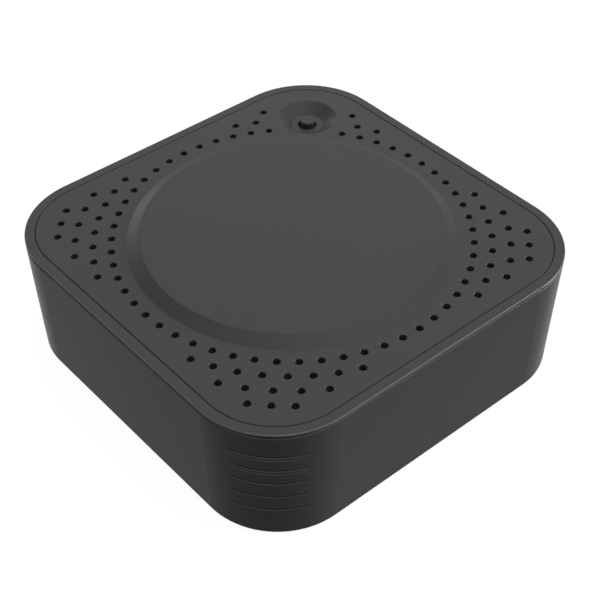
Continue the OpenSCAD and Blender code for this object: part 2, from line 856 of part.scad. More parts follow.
module lamp_holes() {
    for (i = [0:lamp_count - 1], y = [-1, 1]) {
        rotate(lamp_step * (i + 1 / 2)) translate([lead_r + lead_t / 2, y * lead_pitch / 2])
            circle(lead_hole_r, $fn = 24);
    }
    for (x = [-1, 1]) translate([x * lead_pitch / 2, 0]) circle(lead_hole_r, $fn = 24);
}

module main_board() {
    color("darkgreen") translate([0, 0, z_board]) linear_extrude(board_t) difference() {
        union() {
            rounded(2 * board_half, 2 * board_half, board_corner_r);
            translate([-tongue_w / 2, 0]) square([tongue_w, tongue_y]);
        }
        for (x = [-1, 1], y = [-1, 1]) {
            translate([x * post_offset, y * post_offset]) circle(board_screw_d / 2 + screw_gap, $fn = 32);
        }
        lamp_holes();
        for (x = [-1, 0, 1]) translate([x * lead_pitch, receiver_y]) circle(lead_hole_r, $fn = 24);
        translate([-dish_at, dish_at]) rotate(diagonal) for (x = [-1, 1], y = [-1, 1]) {
            translate([x * leg_row_w / 2, y * (switch_w + leg_t) / 2]) circle(leg_hole_r, $fn = 24);
        }
    }
}

// Lamps

module lamp() {
    tip = arc(0, lamp_l - lamp_r, lamp_r, 90, 0, lens_steps);
    rotate_extrude($fn = 48) polygon(concat(tip, [[lamp_r, lamp_rim_t], [lamp_rim_r, lamp_rim_t],
        [lamp_rim_r, 0], [0, 0]]));
}

module emitter_lamps() {
    color("lightsteelblue") {
        for (i = [0:lamp_count - 1]) {
            rotate(lamp_step * (i + 1 / 2)) translate([lamp_foot, 0, lamp_z]) rotate([0, 90, 0]) lamp();
        }
        translate([0, 0, z_board_top + up_lamp_stand]) lamp();
    }
}

module bent_lead() {
    low = z_board - lead_stub;
    section = [[lead_r, low], [lead_r + lead_t, low], [lead_r + lead_t, lamp_z - lead_t / 2],
        [lamp_foot, lamp_z - lead_t / 2], [lamp_foot, lamp_z + lead_t / 2], [lead_r, lamp_z + lead_t / 2]];
    translate([0, lead_t / 2, 0]) rotate([90, 0, 0]) linear_extrude(lead_t) polygon(section);
}

module emitter_leads() {
    low = z_board - lead_stub;
    color("silver") {
        for (i = [0:lamp_count - 1], y = [-1, 1]) {
            rotate(lamp_step * (i + 1 / 2)) translate([0, y * lead_pitch / 2, 0]) bent_lead();
        }
        for (x = [-1, 1]) translate([x * lead_pitch / 2, 0, 0])
            block(lead_t, lead_t, low, z_board_top + up_lamp_stand - low);
    }
}

// Receiver

module receiver_body() {
    w = receiver_w / 2;
    d = receiver_d / 2;
    low = z_board_top + receiver_stand;
    lens_z = low + receiver_h * receiver_lens_share;
    lens_c = receiver_lens_r - receiver_lens_rise;
    color("black") translate([0, receiver_y, 0]) {
        translate([0, 0, low]) linear_extrude(receiver_h)
            polygon([[-w, d - receiver_chamfer], [receiver_chamfer - w, d], [w - receiver_chamfer, d],
                [w, d - receiver_chamfer], [w, -d], [-w, -d]]);
        intersection() {
            translate([0, lens_c - d, lens_z]) sphere(receiver_lens_r);
            translate([-w, -d - receiver_lens_r, low]) cube([2 * w, d + receiver_lens_r, receiver_h]);
        }
    }
}

module receiver_leads() {
    low = z_board - lead_stub;
    color("silver") for (x = [-1, 0, 1]) {
        translate([x * lead_pitch, receiver_y, 0])
            block(lead_t, lead_t, low, z_board_top + receiver_stand - low);
    }
}

// Wireless module

module radio_board() {
    color("midnightblue") translate([radio_x, 0, z_board_top]) linear_extrude(radio_t) difference() {
        translate([0, -radio_w / 2]) square([radio_l, radio_w]);
        for (i = [0:notch_count - 1], y = [-1, 1]) {
            translate([notch_start + i * notch_pitch, y * radio_w / 2]) circle(notch_r, $fn = 16);
        }
    }
}

module radio_shield() {
    x = radio_x + radio_l - shield_edge - shield_l / 2;
    base = z_board_top + radio_t;
    color("silver") translate([x, 0, base]) {
        linear_extrude(shield_h) rounded(shield_l, shield_w, shield_corner_r);
        linear_extrude(shield_rim_t)
            rounded(shield_l + shield_rim_w, shield_w + shield_rim_w, shield_corner_r + shield_rim_w / 2);
    }
}

module radio_antenna() {
    run = antenna_turns * 2;
    color("goldenrod") translate([radio_x + antenna_x, -antenna_y, z_board_top + radio_t])
        linear_extrude(antenna_t) {
            for (i = [0:run - 1]) translate([0, i * antenna_pitch]) square([antenna_deep, antenna_w]);
            for (i = [0:run - 2]) {
                translate([i % 2 == 0 ? 0 : antenna_deep - antenna_w, i * antenna_pitch])
                    square([antenna_w, antenna_pitch + antenna_w]);
            }
            square([antenna_deep + antenna_feed, antenna_w]);
        }
}

// Chips and small parts

module main_chip() {
    w = chip_w / 2;
    dot = w - 3 * chip_dot_r;
    color("black") at_share(chip_place_share) difference() {
        translate([0, 0, z_board_top + chip_leg_t]) linear_extrude(chip_h)
            polygon([[chip_edge - w, -w], [w - chip_edge, -w], [w, chip_edge - w], [w, w - chip_edge],
                [w - chip_edge, w], [chip_edge - w, w], [-w, w - chip_edge], [-w, chip_edge - w]]);
        translate([-dot, dot, 0]) bar(chip_dot_r, z_board_top + chip_leg_t + chip_h - chip_dot_d,
            z_board_top + chip_h + over);
    }
}

module chip_legs() {
    w = chip_w / 2;
    section = [[w, chip_leg_z], [w + chip_leg_run / 2, chip_leg_z], [w + chip_leg_run / 2, 0],
        [w + chip_leg_run, 0], [w + chip_leg_run, chip_leg_t], [w + chip_leg_run / 2 + chip_leg_t, chip_leg_t],
        [w + chip_leg_run / 2 + chip_leg_t, chip_leg_z + chip_leg_t], [w, chip_leg_z + chip_leg_t]];
    color("silver") at_share(chip_place_share) for (side = [0:3], i = [0:chip_leg_count - 1]) {
        rotate(90 * side)
            translate([0, (i - (chip_leg_count - 1) / 2) * chip_leg_pitch + chip_leg_w / 2, z_board_top])
                rotate([90, 0, 0]) linear_extrude(chip_leg_w) polygon(section);
    }
}

module driver_transistors() {
    color("black") for (place = driver_place_shares) at_share(place) {
        block(driver_l, driver_w, z_board_top + driver_leg_t / 2, driver_h);
        for (x = [-1, 1]) translate([x * driver_leg_pitch, -driver_w / 2, 0])
            block(driver_leg_w, 2 * driver_leg_run, z_board_top, driver_leg_t);
        translate([0, driver_w / 2, 0]) block(driver_leg_w, 2 * driver_leg_run, z_board_top, driver_leg_t);
    }
}

module supply_coil() {
    color("gray") at_share(coil_place_share) translate([0, 0, z_board_top]) difference() {
        linear_extrude(coil_h) rounded(coil_w, coil_w, coil_corner_r);
        bar(coil_core_r, coil_h - coil_dip, coil_h + over);
    }
}

module capacitor_cans() {
    low = z_board_top + can_base_h;
    top = low + can_h;
    color("silver") for (place = can_place_shares) at_share(place) rotate_extrude($fn = 64)
        polygon([[0, low], [can_r, low], [can_r, low + can_groove_z - can_groove_d],
            [can_r - can_groove_d, low + can_groove_z], [can_r, low + can_groove_z + can_groove_d],
            [can_r, top - can_edge], [can_r - can_edge, top], [0, top]]);
}

module capacitor_bases() {
    w = can_base_w / 2;
    color("black") for (place = can_place_shares) at_share(place)
        translate([0, 0, z_board_top]) linear_extrude(can_base_h)
            polygon([[-w, -w], [w, -w], [w, w - can_base_cut], [w - can_base_cut, w],
                [can_base_cut - w, w], [-w, w - can_base_cut]]);
}

module clock_crystal() {
    color("silver") at_share(crystal_place_share) {
        block(crystal_l, crystal_w, z_board_top, crystal_h / 2);
        block(crystal_l - crystal_step, crystal_w - crystal_step, z_board_top, crystal_h);
    }
}

module chip_parts() {
    color("tan") for (row = small_row_shares) at_share(row) {
        rotate(row[3]) for (i = [0:row[2] - 1]) translate([i * small_pitch, 0, 0])
            block(small_l, small_w, z_board_top, small_h);
    }
}

module status_lamp() {
    color("white") translate([status_at, -status_at, 0]) rotate(-diagonal) {
        block(status_l, status_w, z_board_top, status_h / 2);
        block(status_l / 2, status_w, z_board_top, status_h);
    }
}

// Power socket

module inlet_shell() {
    color("silver") difference() {
        translate([0, inlet_mouth, z_inlet]) rotate([90, 0, 0]) linear_extrude(inlet_l) inlet_outline(0);
        translate([0, inlet_mouth + over, z_inlet]) rotate([90, 0, 0])
            linear_extrude(inlet_l + over - inlet_sheet_t) inlet_outline(-inlet_sheet_t);
    }
}

module inlet_tongue() {
    back = inlet_mouth - inlet_l + inlet_sheet_t;
    play = inlet_sheet_t + tongue_side_play;
    plate_top = z_inlet + tongue_plate_t;
    color("black") {
        translate([0, back + tongue_block_l, z_inlet]) rotate([90, 0, 0])
            linear_extrude(tongue_block_l) inlet_outline(-play);
        translate([-tongue_plate_w / 2, back, plate_top - tongue_plate_t / 2])
            cube([tongue_plate_w, inlet_mouth - tongue_plate_short - back, tongue_plate_t]);
    }
}

// Push switch and button

module switch_base() {
    color("black") at_dish() difference() {
        block(switch_w, switch_w, z_board_top, switch_base_h);
        bar(plunger_r + foot_w + foot_side_play, z_switch_floor, z_switch + over);
    }
}

module switch_cover() {
    color("silver") at_dish() difference() {
        block(switch_w, switch_w, z_switch, switch_cover_t);
        bar(plunger_r + plunger_gap, z_switch - over, z_switch_top + over);
    }
}

module switch_legs() {
    low = z_board - lead_stub;
    color("silver") at_dish() for (x = [-1, 1], y = [-1, 1]) {
        translate([x * leg_row_w / 2, y * (switch_w + leg_t) / 2, 0])
            block(leg_w, leg_t, low, z_board_top + leg_top_h - low);
    }
}

module contact_dome() {
    // Radius of the sphere whose cap has the dome's width and height
    ball = (dome_r * dome_r + dome_h * dome_h) / (2 * dome_h);
    color("silver") at_dish() translate([0, 0, z_dome - ball]) intersection() {
        difference() {
            sphere(ball);
            sphere(ball - dome_t);
        }
        translate([0, 0, ball - dome_h]) cylinder(r = dome_r, h = dome_h + over);
    }
}

module switch_plunger() {
    foot_top = z_switch - rest_play;
    color("ivory") translate([-dish_at, dish_at, 0]) rotate_extrude($fn = 64)
        polygon([[0, z_nib], [nib_r, z_nib], [nib_r, foot_top - foot_t],
            [plunger_r + foot_w, foot_top - foot_t], [plunger_r + foot_w, foot_top],
            [plunger_r, foot_top], [plunger_r, z_plunger], [0, z_plunger]]);
}

module reset_button() {
    edge = arc(button_r - button_edge_r, z_button - button_edge_r, button_edge_r, 90, 0, edge_steps);
    bore_r = plunger_r + socket_play;
    low = z_plunger - socket_depth;
    color("dimgray") translate([-dish_at, dish_at, 0]) rotate_extrude()
        polygon(concat([[0, z_button]], edge, [[button_r, z_collar_top], [collar_r, z_collar_top],
            [collar_r, z_collar], [bore_r + socket_wall, z_collar], [bore_r + socket_wall, low],
            [bore_r, low], [bore_r, z_plunger], [0, z_plunger]]));
}

rim_frame();
top_plate();
plate_tape();
lower_housing();
base_cover();
rubber_feet();
base_screws();
main_board();
board_screws();
emitter_lamps();
emitter_leads();
receiver_body();
receiver_leads();
radio_board();
radio_shield();
radio_antenna();
main_chip();
chip_legs();
driver_transistors();
supply_coil();
capacitor_cans();
capacitor_bases();
clock_crystal();
chip_parts();
status_lamp();
inlet_shell();
inlet_tongue();
switch_base();
switch_cover();
switch_legs();
contact_dome();
switch_plunger();
reset_button();
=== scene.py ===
import json
import math
import bpy
import bmesh
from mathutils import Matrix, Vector

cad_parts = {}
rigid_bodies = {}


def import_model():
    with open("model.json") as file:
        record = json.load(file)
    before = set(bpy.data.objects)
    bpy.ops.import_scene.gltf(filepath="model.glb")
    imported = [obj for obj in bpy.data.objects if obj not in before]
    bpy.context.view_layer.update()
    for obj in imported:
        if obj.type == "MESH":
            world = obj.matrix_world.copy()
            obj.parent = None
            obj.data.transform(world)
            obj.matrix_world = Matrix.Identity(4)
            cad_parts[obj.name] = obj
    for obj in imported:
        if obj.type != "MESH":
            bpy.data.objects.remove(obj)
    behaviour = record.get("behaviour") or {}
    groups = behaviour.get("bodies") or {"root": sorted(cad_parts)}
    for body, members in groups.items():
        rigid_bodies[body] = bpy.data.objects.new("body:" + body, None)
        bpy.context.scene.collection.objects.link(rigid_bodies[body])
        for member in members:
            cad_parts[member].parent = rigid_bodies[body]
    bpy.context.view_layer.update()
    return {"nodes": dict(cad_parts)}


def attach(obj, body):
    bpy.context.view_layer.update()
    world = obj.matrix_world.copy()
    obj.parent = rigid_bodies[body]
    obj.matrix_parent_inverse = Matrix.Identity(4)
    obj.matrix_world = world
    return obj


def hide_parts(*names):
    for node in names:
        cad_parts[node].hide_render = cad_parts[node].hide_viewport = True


for leftover in list(bpy.data.objects):
    bpy.data.objects.remove(leftover)
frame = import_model()
scene = bpy.context.scene
scene.view_settings.view_transform = "Standard"

# Camera: the photograph's station and field of view, solved from the vent holes and the outline

camera = bpy.data.objects.new("photo_camera", bpy.data.cameras.new("photo_camera"))
scene.collection.objects.link(camera)
scene.camera = camera
camera.data.sensor_width = 36
camera.data.lens = 79.87
camera.data.shift_x = 0.0004
camera.data.shift_y = -0.0002
camera.data.clip_start = 0.01
camera.location = (0.17432, -0.146635, 0.219027)
camera.rotation_euler = [math.radians(angle) for angle in (47.68431, 0.22654, 49.34484)]


# Helpers for shader trees and geometry trees

def feed(tree, target, value):
    """Links a term or a socket to an input, or sets a plain value on it."""
    if isinstance(value, Term):
        value = value.socket
    if isinstance(value, bpy.types.NodeSocket):
        tree.links.new(value, target)
    else:
        target.default_value = value


def node(tree, kind, inputs=None, output=0, **settings):
    """Adds a node, sets it up, feeds its inputs by name or place and gives one of its outputs."""
    made = tree.nodes.new(kind)
    for name, value in settings.items():
        setattr(made, name, value)
    for name, value in (inputs or {}).items():
        feed(tree, made.inputs[name], value)
    return made.outputs[output]


def use_group(tree, group, inputs):
    """Uses a node group inside a tree and gives its outputs."""
    made = tree.nodes.new({"SHADER": "ShaderNodeGroup", "GEOMETRY": "GeometryNodeGroup"}[tree.type])
    made.node_tree = group
    for name, value in inputs.items():
        feed(tree, made.inputs[name], value)
    return made.outputs


class Term:
    """A number in a node tree, so that sums are written as sums."""

    def __init__(self, tree, socket):
        self.tree = tree
        self.socket = socket

    def step(self, operation, *values):
        """The result of a math node that is fed these values."""
        made = self.tree.nodes.new("ShaderNodeMath")
        made.operation = operation
        for target, value in zip(made.inputs, values):
            feed(self.tree, target, value)
        return Term(self.tree, made.outputs[0])

    def __add__(self, other):
        return self.step("ADD", self, other)

    __radd__ = __add__

    def __sub__(self, other):
        return self.step("SUBTRACT", self, other)

    def __rsub__(self, other):
        return self.step("SUBTRACT", other, self)

    def __mul__(self, other):
        return self.step("MULTIPLY", self, other)

    __rmul__ = __mul__

    def __truediv__(self, other):
        return self.step("DIVIDE", self, other)

    def __rtruediv__(self, other):
        return self.step("DIVIDE", other, self)

    def __neg__(self):
        return self * -1.0

    def __abs__(self):
        return self.step("ABSOLUTE", self)

    def floor(self):
        return self.step("FLOOR", self)

    def modulo(self, other):
        return self.step("FLOORED_MODULO", self, other)

    def sqrt(self):
        return self.step("SQRT", self)

    def radians(self):
        return self.step("RADIANS", self)

    def cos(self):
        return self.step("COSINE", self.radians())

    def sin(self):
        return self.step("SINE", self.radians())

    def at_least(self, other):
        return self.step("MAXIMUM", self, other)

    def at_most(self, other):
        return self.step("MINIMUM", self, other)

    def clamped(self):
        return self.at_least(0.0).at_most(1.0)

    def above(self, limit):
        return self.step("GREATER_THAN", self, limit)

    def below(self, limit):
        return self.step("LESS_THAN", self, limit)


def parts_of(tree, vector):
    """The three parts of a vector."""
    split = tree.nodes.new("ShaderNodeSeparateXYZ")
    feed(tree, split.inputs[0], vector)
    return [Term(tree, socket) for socket in split.outputs]


# Shader node groups that several finishes share

SPECK_SHARE = 0.8  # Tone of the fine grain against that of the flow marks
TILT_FADE = 12.0  # A tilt limit fades over 1 / 12 of the normal's height
LIP_TILTS = (0.5, 0.8)  # Height of the normal on the lower face of a groove


def shader_group(name, inputs, outputs):
    """A shader node group with named sockets. Gives the group, its inputs as terms and its output node."""
    group = bpy.data.node_groups.new(name, "ShaderNodeTree")
    for label, kind, value in inputs:
        group.interface.new_socket(label, in_out="INPUT", socket_type=kind).default_value = value
    for label, kind in outputs:
        group.interface.new_socket(label, in_out="OUTPUT", socket_type=kind)
    give = group.nodes.new("NodeGroupInput")
    given = {label: Term(group, give.outputs[label]) for label, kind, value in inputs}
    return group, given, group.nodes.new("NodeGroupOutput")


def noise(tree, vector, scale, roughness):
    return Term(tree, node(tree, "ShaderNodeTexNoise", {
        "Vector": vector, "Scale": scale, "Detail": 3.0, "Roughness": roughness}, "Fac"))


def make_moulding_grain():
    """Spark-eroded mould texture: a fine even grain over slow flow marks, with faint tone drift."""
    group, given, take = shader_group(
        "moulding_grain",
        [("Vector", "NodeSocketVector", (0, 0, 0)), ("Base", "NodeSocketColor", (0.02, 0.02, 0.02, 1)),
         ("Tone Drift", "NodeSocketFloat", 0.12), ("Grain Size", "NodeSocketFloat", 2600.0),
         ("Grain Depth", "NodeSocketFloat", 0.5), ("Flow Size", "NodeSocketFloat", 28.0),
         ("Roughness", "NodeSocketFloat", 0.36), ("Roughness Drift", "NodeSocketFloat", 0.05)],
        [("Color", "NodeSocketColor"), ("Roughness", "NodeSocketFloat"), ("Height", "NodeSocketFloat")])
    tone, rough = given["Tone Drift"], given["Roughness Drift"]
    grain = noise(group, given["Vector"], given["Grain Size"], 0.55)
    fine = grain - 0.5
    slow = noise(group, given["Vector"], given["Flow Size"], 0.5) - 0.5
    gain = slow * tone + fine * (tone * SPECK_SHARE) + 1.0
    tinted = node(group, "ShaderNodeVectorMath", {0: given["Base"], "Scale": gain}, operation="SCALE")
    feed(group, take.inputs["Color"], tinted)
    feed(group, take.inputs["Roughness"], slow * rough + fine * rough + given["Roughness"])
    feed(group, take.inputs["Height"], grain * given["Grain Depth"])
    return group


def make_edge_polish():
    """1 where a face tilts between two limits, as on the small rounds that handling and the mould polish."""
    group, given, take = shader_group(
        "edge_polish", [("Normal", "NodeSocketVector", (0, 0, 1)), ("Place", "NodeSocketVector", (0, 0, 0)),
                        ("From", "NodeSocketFloat", 0.12), ("To", "NodeSocketFloat", 0.97),
                        ("Inward Too", "NodeSocketFloat", 0.0)], [("Polish", "NodeSocketFloat")])
    tilt = abs(parts_of(group, given["Normal"])[2])
    rise = (tilt - given["From"]) * TILT_FADE
    fall = (given["To"] - tilt) * TILT_FADE
    across = node(group, "ShaderNodeVectorMath", {0: given["Place"], 1: (1, 1, 0)}, operation="MULTIPLY")
    facing = Term(group, node(group, "ShaderNodeVectorMath", {0: across, 1: given["Normal"]}, "Value",
                              operation="DOT_PRODUCT"))
    wanted = facing.above(0.0).at_least(given["Inward Too"])
    feed(group, take.inputs["Polish"], rise.at_most(fall).clamped() * wanted)
    return group


def make_cut_lip():
    """1 where a face that tilts up meets the drafted wall, as on the lower lip of a groove, and 0 deeper in."""
    group, given, take = shader_group(
        "cut_lip", [("Normal", "NodeSocketVector", (0, 0, 1)), ("Place", "NodeSocketVector", (0, 0, 0)),
                    ("Corner Middle", "NodeSocketFloat", 0.0286), ("Corner Radius", "NodeSocketFloat", 0.0194),
                    ("Top", "NodeSocketFloat", 0.0314), ("Draft", "NodeSocketFloat", 0.0357),
                    ("Reach", "NodeSocketFloat", 0.00014)], [("Lip", "NodeSocketFloat")])
    x, y, z = parts_of(group, given["Place"])
    tilt = parts_of(group, given["Normal"])[2]
    past_x, past_y = [(abs(side) - given["Corner Middle"]).at_least(0.0) for side in (x, y)]
    face = given["Corner Radius"] - (given["Top"] - z) * given["Draft"]
    depth = face - (past_x * past_x + past_y * past_y).sqrt()
    near = (1.0 - depth / given["Reach"]).clamped()
    feed(group, take.inputs["Lip"], near * (tilt.above(LIP_TILTS[0]) * tilt.below(LIP_TILTS[1])))
    return group


moulding_grain = make_moulding_grain()
edge_polish = make_edge_polish()
cut_lip = make_cut_lip()

# Finishes

FLOW_SIZE = 28.0
ROUGHNESS_DRIFT = 0.05
BUMP_DISTANCE = 0.00002
COAT_ROUGHNESS = 0.3
CASING_GREY = (0.0297, 0.0300, 0.0305)
WALL_GREY = (0.0312, 0.0315, 0.0320)


def finish_material(name, base, roughness, drift=0.12, grain=2600.0, depth=0.5, specular=0.5, metallic=0.0,
                    clear=0.0, ior=1.5, polish=0.0, tilts=(0.12, 0.97), inward=0.0, lip=0.0):
    """A Principled material whose colour, roughness and bump come from the grain group."""
    material = bpy.data.materials.new(name)
    material.use_nodes = True
    tree = material.node_tree
    shader = tree.nodes["Principled BSDF"]
    place = tree.nodes.new("ShaderNodeTexCoord")
    skin = use_group(tree, moulding_grain, {
        "Vector": place.outputs["Object"], "Base": (*base, 1), "Tone Drift": drift, "Grain Size": grain,
        "Grain Depth": depth, "Flow Size": FLOW_SIZE, "Roughness": roughness,
        "Roughness Drift": ROUGHNESS_DRIFT})
    bumped = node(tree, "ShaderNodeBump", {
        "Height": skin["Height"], "Distance": BUMP_DISTANCE, "Strength": 1.0}, "Normal")
    for socket, value in (("Base Color", skin["Color"]), ("Roughness", skin["Roughness"]), ("Normal", bumped),
                          ("Specular IOR Level", specular), ("Metallic", metallic),
                          ("Transmission Weight", clear), ("IOR", ior)):
        feed(tree, shader.inputs[socket], value)
    if polish:
        where = {"Normal": place.outputs["Normal"], "Place": place.outputs["Object"]}
        edges = use_group(tree, edge_polish, {**where, "From": tilts[0], "To": tilts[1],
                                              "Inward Too": inward})
        coat = Term(tree, edges["Polish"]) * polish
        if lip:
            lips = use_group(tree, cut_lip, where)
            coat = coat.at_least(Term(tree, lips["Lip"]) * lip)
        feed(tree, shader.inputs["Coat Weight"], coat)
        shader.inputs["Coat Roughness"].default_value = COAT_ROUGHNESS
    return material


finishes = {
    "casing": finish_material("casing_plastic", CASING_GREY, 0.32, specular=0.042),
    "film": finish_material("adhesive_film", (0.008, 0.008, 0.009), 0.55, grain=900.0),
    "rubber": finish_material("foot_rubber", (0.016, 0.016, 0.017), 0.72, grain=1500.0, specular=0.3),
    "screw_steel": finish_material("screw_steel", (0.50, 0.50, 0.51), 0.3, grain=3200.0, metallic=1.0),
    "board": finish_material("board_lacquer", (0.012, 0.075, 0.032), 0.32, drift=0.3, grain=1400.0),
    "radio_board": finish_material("radio_board_lacquer", (0.008, 0.02, 0.055), 0.3, drift=0.3, grain=1400.0),
    "tinned_steel": finish_material("tinned_steel", (0.62, 0.61, 0.58), 0.26, grain=2400.0, metallic=1.0),
    "copper": finish_material("gilt_copper", (0.75, 0.47, 0.2), 0.28, grain=2000.0, metallic=1.0),
    "lamp_resin": finish_material("lamp_resin", (0.62, 0.68, 0.76), 0.08, grain=700.0, depth=0.1, clear=0.85,
                                  ior=1.52),
    "receiver_resin": finish_material("receiver_resin", (0.012, 0.006, 0.007), 0.14, grain=900.0, depth=0.1),
    "black_resin": finish_material("black_resin", (0.014, 0.014, 0.015), 0.42, grain=2800.0),
    "ferrite": finish_material("ferrite", (0.06, 0.058, 0.056), 0.6, drift=0.3, grain=1500.0),
    "can_aluminium": finish_material("can_aluminium", (0.78, 0.78, 0.79), 0.25, grain=2600.0, metallic=1.0),
    "ceramic_parts": finish_material("ceramic_parts", (0.38, 0.29, 0.18), 0.45, drift=0.3, grain=2600.0),
    "status_resin": finish_material("status_resin", (0.72, 0.72, 0.68), 0.3, grain=1800.0),
    "plunger_resin": finish_material("plunger_resin", (0.55, 0.52, 0.44), 0.38, grain=2200.0),
}
plate_finish = finish_material("casing_plate", CASING_GREY, 0.32, specular=0.042, polish=0.22,
                               tilts=(0.55, 0.80), inward=1.0)
own_finish = {
    "lower_housing": finish_material("casing_walls", WALL_GREY, 0.32, specular=0.03, polish=0.3,
                                     tilts=(0.6, 0.97), lip=0.75),
    "rim_frame": finish_material("casing_frame", CASING_GREY, 0.32, specular=0.042, polish=0.65),
}
slot_of = {name: cad_node.material_slots[0].material.name for name, cad_node in frame["nodes"].items()}
for name, cad_node in frame["nodes"].items():
    for slot in cad_node.material_slots:
        slot.material = own_finish.get(name, finishes[slot_of[name]])

# Geometry Nodes: every length in a tree is in millimetres, and the last step scales the shape to metres

MM = 0.001
SWEEP_WELD = 0.0005  # Points of one sweep that are nearer than this become one
PIECE_WELD = 0.003  # The same for the points of a whole piece
SHARP_DEG = 32  # Edges that turn more than this stay sharp
SOCKETS = {float: "NodeSocketFloat", int: "NodeSocketInt", str: "NodeSocketGeometry"}


def geometry_tree(name, sizes, with_material=False):
    """A geometry tree with one named input for each size. Gives the tree, its inputs and its output node."""
    tree = bpy.data.node_groups.new(name, "GeometryNodeTree")
    for label, value in sizes.items():
        socket = tree.interface.new_socket(label, in_out="INPUT", socket_type=SOCKETS[type(value)])
        if not isinstance(value, str):
            socket.default_value = value
    if with_material:
        tree.interface.new_socket("Material", in_out="INPUT", socket_type="NodeSocketMaterial")
    tree.interface.new_socket("Geometry", in_out="OUTPUT", socket_type="NodeSocketGeometry")
    give = tree.nodes.new("NodeGroupInput")
    put = tree.nodes.new("NodeGroupOutput")
    given = {}
    for label, value in sizes.items():
        socket = give.outputs[label]
        given[label] = socket if isinstance(value, str) else Term(tree, socket)
    if with_material:
        given["Material"] = give.outputs["Material"]
    return tree, given, put


def index_term(tree):
    return Term(tree, node(tree, "GeometryNodeInputIndex"))


def point(tree, x, y, z):
    return node(tree, "ShaderNodeCombineXYZ", {0: x, 1: y, 2: z})


def joined(tree, parts):
    join = tree.nodes.new("GeometryNodeJoinGeometry")
    for part in parts:
        tree.links.new(part, join.inputs[0])
    return join.outputs[0]


def merged(tree, geometry, distance):
    return node(tree, "GeometryNodeMergeByDistance", {"Geometry": geometry, "Distance": distance})


def by_index(tree, values, kind):
    """One value for each index."""
    choice = tree.nodes.new("GeometryNodeIndexSwitch")
    choice.data_type = kind
    while len(choice.index_switch_items) < len(values):
        choice.index_switch_items.new()
    feed(tree, choice.inputs[0], index_term(tree))
    for place, value in enumerate(values, 1):
        feed(tree, choice.inputs[place], value)
    return choice.outputs[0]


def profile(tree, corners, steps=5):
    """An open line in plan through corners (outward, height, round), its corners rounded."""
    line = node(tree, "GeometryNodeMeshLine", {"Count": len(corners)})
    places = by_index(tree, [point(tree, corner[0], corner[1], 0.0) for corner in corners], "VECTOR")
    line = node(tree, "GeometryNodeSetPosition", {"Geometry": line, "Position": places})
    line = node(tree, "GeometryNodeMeshToCurve", {"Mesh": line})
    rounds = by_index(tree, [corner[2] if len(corner) > 2 else 0.0 for corner in corners], "FLOAT")
    return node(tree, "GeometryNodeFilletCurve", {"Curve": line, "Count": steps, "Radius": rounds}, mode="POLY")


def corner_turn(tree, column, steps, radius, corner_middle):
    """Place on the rounded square for a column: its corners are quarter circles of so many steps."""
    quarter = (column / (steps + 1.0)).floor()
    turn = quarter * 90.0 + column.modulo(steps + 1.0) * 90.0 / steps
    towards = quarter * 90.0 + 45.0
    reach = corner_middle * math.sqrt(2)
    return towards.cos() * reach + turn.cos() * radius, towards.sin() * reach + turn.sin() * radius


def make_sweep():
    """Sweeps a profile round a rounded square, or turns it round the axis when the corners share one middle."""
    tree, given, put = geometry_tree(
        "sweep_profile", {"Profile": "geometry", "Radius": 0.0, "Corner Middle": 0.0, "Corner Steps": 12})
    points = node(tree, "GeometryNodeCurveToPoints", {"Curve": given["Profile"]}, mode="EVALUATED")
    rows = Term(tree, node(tree, "GeometryNodeAttributeDomainSize", {"Geometry": points}, "Point Count",
                           component="POINTCLOUD"))
    steps = given["Corner Steps"]
    columns = (steps + 1.0) * 4.0 + 1.0
    grid = node(tree, "GeometryNodeMeshGrid", {"Vertices X": columns, "Vertices Y": rows})
    index = index_term(tree)
    here = node(tree, "GeometryNodeInputPosition")
    found = node(tree, "GeometryNodeSampleIndex",
                 {"Geometry": points, "Value": here, "Index": index.modulo(rows)}, data_type="FLOAT_VECTOR")
    outward, height = parts_of(tree, found)[:2]
    x, y = corner_turn(tree, (index / rows).floor(), steps, outward + given["Radius"], given["Corner Middle"])
    shape = node(tree, "GeometryNodeSetPosition", {"Geometry": grid, "Position": point(tree, x, y, height)})
    tree.links.new(merged(tree, shape, SWEEP_WELD), put.inputs[0])
    return tree


def make_outline():
    """Closed curve round the rounded square at a height."""
    tree, given, put = geometry_tree(
        "rounded_outline", {"Radius": 0.0, "Corner Middle": 0.0, "Height": 0.0, "Corner Steps": 12})
    steps = given["Corner Steps"]
    ring = node(tree, "GeometryNodeCurvePrimitiveCircle", {"Resolution": (steps + 1.0) * 4.0})
    x, y = corner_turn(tree, index_term(tree), steps, given["Radius"], given["Corner Middle"])
    ring = node(tree, "GeometryNodeSetPosition",
                {"Geometry": ring, "Position": point(tree, x, y, given["Height"])})
    tree.links.new(ring, put.inputs[0])
    return tree


def make_vent_row():
    """Points of one row of vent holes: so many in each corner, or one ring when there is one corner."""
    tree, given, put = geometry_tree(
        "vent_row", {"Count": 8, "Corners": 4, "Middle": 0.0, "Angle Step": 6.0, "Row Radius": 40.0})
    count = given["Count"]
    index = index_term(tree)
    turn = (index.modulo(count) - given["Middle"]) * given["Angle Step"] + (index / count).floor() * 90.0 + 45.0
    place = point(tree, turn.cos() * given["Row Radius"], turn.sin() * given["Row Radius"], 0.0)
    dots = node(tree, "GeometryNodePoints", {"Count": count * given["Corners"], "Position": place})
    tree.links.new(dots, put.inputs[0])
    return tree


sweep_tree = make_sweep()
outline_tree = make_outline()
vent_row_tree = make_vent_row()


def swept(tree, line, radius=0.0, corner_middle=0.0, steps=12):
    return use_group(tree, sweep_tree, {"Profile": line, "Radius": radius, "Corner Middle": corner_middle,
                                        "Corner Steps": steps})[0]


def moved(tree, geometry, x=0.0, y=0.0, z=0.0):
    return node(tree, "GeometryNodeTransform",
                {"Geometry": geometry, "Translation": point(tree, x, y, z)})


